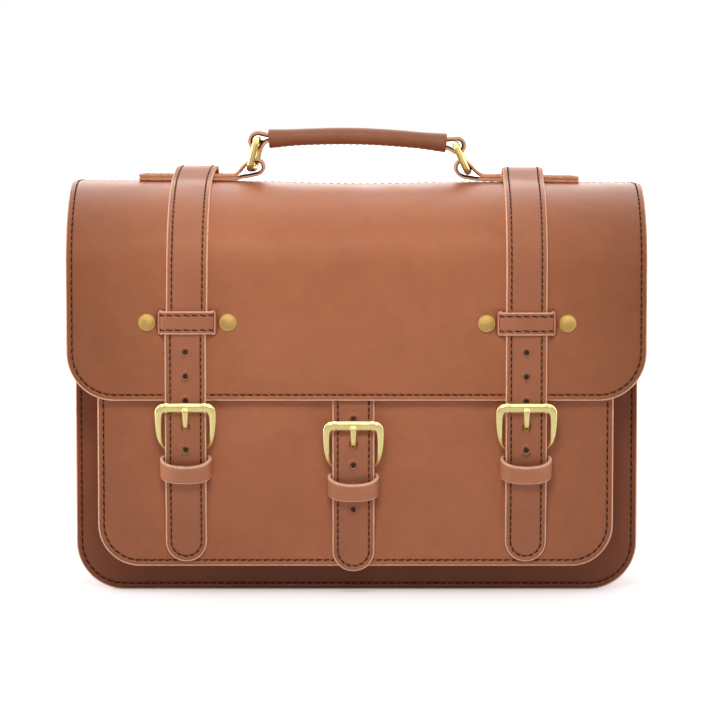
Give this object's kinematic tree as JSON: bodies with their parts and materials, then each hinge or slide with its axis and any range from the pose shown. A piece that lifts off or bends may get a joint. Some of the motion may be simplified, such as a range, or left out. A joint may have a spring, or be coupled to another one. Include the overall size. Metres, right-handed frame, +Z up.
{
  "type": "briefcase",
  "caption": "Leather satchel briefcase: full flap closed by buckled straps over a buckled front pocket, rolled top handle on swivelling rings.",
  "frame": {"origin": "on the ground under the middle of the whole bag's bounding box", "axes": "+X to the right seen from the front, the front with its pocket and buckles faces -Y, +Z up"},
  "size_m": [0.4068, 0.1272, 0.3274],
  "materials": {
    "panel_leather": "smooth semi-gloss, raw pale edges",
    "gusset_leather": "smooth semi-gloss, raw pale edges",
    "pocket_leather": "smooth semi-gloss, raw pale edges",
    "flap_leather": "smooth semi-gloss, raw pale edges",
    "strap_leather": "smooth semi-gloss, raw pale edges",
    "loop_leather": "smooth semi-gloss, raw pale edges",
    "chape_leather": "smooth, raw pale edges",
    "grip_leather": "smooth, rolled",
    "base_leather": "smooth, raw pale edges",
    "polished_brass": "polished",
    "aged_brass": "satin, aged"
  },
  "bodies": {
    "bag": {"back_panel": "panel_leather", "front_panel": "panel_leather", "main_gusset": "gusset_leather", "pocket_face": "pocket_leather", "pocket_gusset": "gusset_leather", "strap_back_left": "strap_leather", "strap_back_right": "strap_leather", "strap_middle_upper": "strap_leather", "chape_left": "chape_leather", "chape_middle": "chape_leather", "chape_right": "chape_leather", "keeper_left": "loop_leather", "keeper_middle": "loop_leather", "keeper_right": "loop_leather"},
    "flap": {"flap": "flap_leather", "flap_loop_left": "loop_leather", "flap_loop_right": "loop_leather", "rivet_left_outer": "aged_brass", "rivet_left_inner": "aged_brass", "rivet_right_outer": "aged_brass", "rivet_right_inner": "aged_brass", "strap_top_left": "strap_leather", "strap_top_right": "strap_leather", "handle_base_left": "base_leather", "handle_base_right": "base_leather"},
    "strap_left": {"strap_tail_left": "strap_leather"},
    "buckle_left": {"buckle_left": "polished_brass"},
    "prong_left": {"prong_left": "polished_brass"},
    "strap_middle": {"strap_tail_middle": "strap_leather"},
    "buckle_middle": {"buckle_middle": "polished_brass"},
    "prong_middle": {"prong_middle": "polished_brass"},
    "strap_right": {"strap_tail_right": "strap_leather"},
    "buckle_right": {"buckle_right": "polished_brass"},
    "prong_right": {"prong_right": "polished_brass"},
    "ring_left": {"handle_ring_left": "aged_brass"},
    "ring_right": {"handle_ring_right": "aged_brass"},
    "handle": {"handle_grip": "grip_leather", "handle_loop_left": "grip_leather", "handle_loop_right": "grip_leather"}
  },
  "joints": [
    {"name": "flap_open", "type": "hinge", "parent": "bag", "child": "flap", "pos_m": [0, 0.06388, 0.2856], "axis": [-1, 0, 0], "range_deg": [0, 165]},
    {"name": "strap_left_lift", "type": "hinge", "parent": "flap", "child": "strap_left", "pos_m": [-0.1198, -0.05482, 0.1779], "axis": [-1, 0, 0], "range_deg": [0, 95], "deforming": ["strap_tail_left"]},
    {"name": "buckle_left_tip", "type": "hinge", "parent": "bag", "child": "buckle_left", "pos_m": [-0.1198, -0.04912, 0.1048], "axis": [1, 0, 0], "range_deg": [0, 29]},
    {"name": "prong_left_swing", "type": "hinge", "parent": "buckle_left", "child": "prong_left", "pos_m": [-0.1198, -0.04912, 0.1048], "axis": [1, 0, 0], "range_deg": [0, 43]},
    {"name": "strap_middle_lift", "type": "hinge", "parent": "bag", "child": "strap_middle", "pos_m": [-0.0022, -0.04872, 0.1304], "axis": [-1, 0, 0], "range_deg": [0, 80], "deforming": ["strap_tail_middle"]},
    {"name": "buckle_middle_tip", "type": "hinge", "parent": "bag", "child": "buckle_middle", "pos_m": [-0.0022, -0.04912, 0.0922], "axis": [1, 0, 0], "range_deg": [0, 29]},
    {"name": "prong_middle_swing", "type": "hinge", "parent": "buckle_middle", "child": "prong_middle", "pos_m": [-0.0022, -0.04912, 0.0922], "axis": [1, 0, 0], "range_deg": [0, 43]},
    {"name": "strap_right_lift", "type": "hinge", "parent": "flap", "child": "strap_right", "pos_m": [0.119, -0.05482, 0.1779], "axis": [-1, 0, 0], "range_deg": [0, 95], "deforming": ["strap_tail_right"]},
    {"name": "buckle_right_tip", "type": "hinge", "parent": "bag", "child": "buckle_right", "pos_m": [0.119, -0.04912, 0.1046], "axis": [1, 0, 0], "range_deg": [0, 29]},
    {"name": "prong_right_swing", "type": "hinge", "parent": "buckle_right", "child": "prong_right", "pos_m": [0.119, -0.04912, 0.1046], "axis": [1, 0, 0], "range_deg": [0, 43]},
    {"name": "handle_sway", "type": "hinge", "parent": "flap", "child": "ring_left", "pos_m": [-0.0752, 0.02868, 0.2983], "axis": [0, 1, 0], "range_deg": [-12, 12]},
    {"name": "ring_right_sway", "type": "hinge", "parent": "flap", "child": "ring_right", "pos_m": [0.0803, 0.02868, 0.2966], "axis": [0, 1, 0], "range_deg": [-13.5, 13.5]},
    {"name": "handle_level", "type": "hinge", "parent": "ring_left", "child": "handle", "pos_m": [-0.0702, 0.02868, 0.3186], "axis": [0, 1, 0], "range_deg": [-13.5, 13.5]}
  ],
  "couplings": [
    {"joint": "buckle_left_tip", "follows": "strap_left_lift", "ratio": 0.3},
    {"joint": "prong_left_swing", "follows": "strap_left_lift", "ratio": 0.45},
    {"joint": "buckle_middle_tip", "follows": "strap_middle_lift", "ratio": 0.3},
    {"joint": "prong_middle_swing", "follows": "strap_middle_lift", "ratio": 0.45},
    {"joint": "buckle_right_tip", "follows": "strap_right_lift", "ratio": 0.3},
    {"joint": "prong_right_swing", "follows": "strap_right_lift", "ratio": 0.45},
    {"joint": "ring_right_sway", "follows": "handle_sway", "ratio": 1.1},
    {"joint": "handle_level", "follows": "handle_sway", "ratio": -1.104}
  ]
}
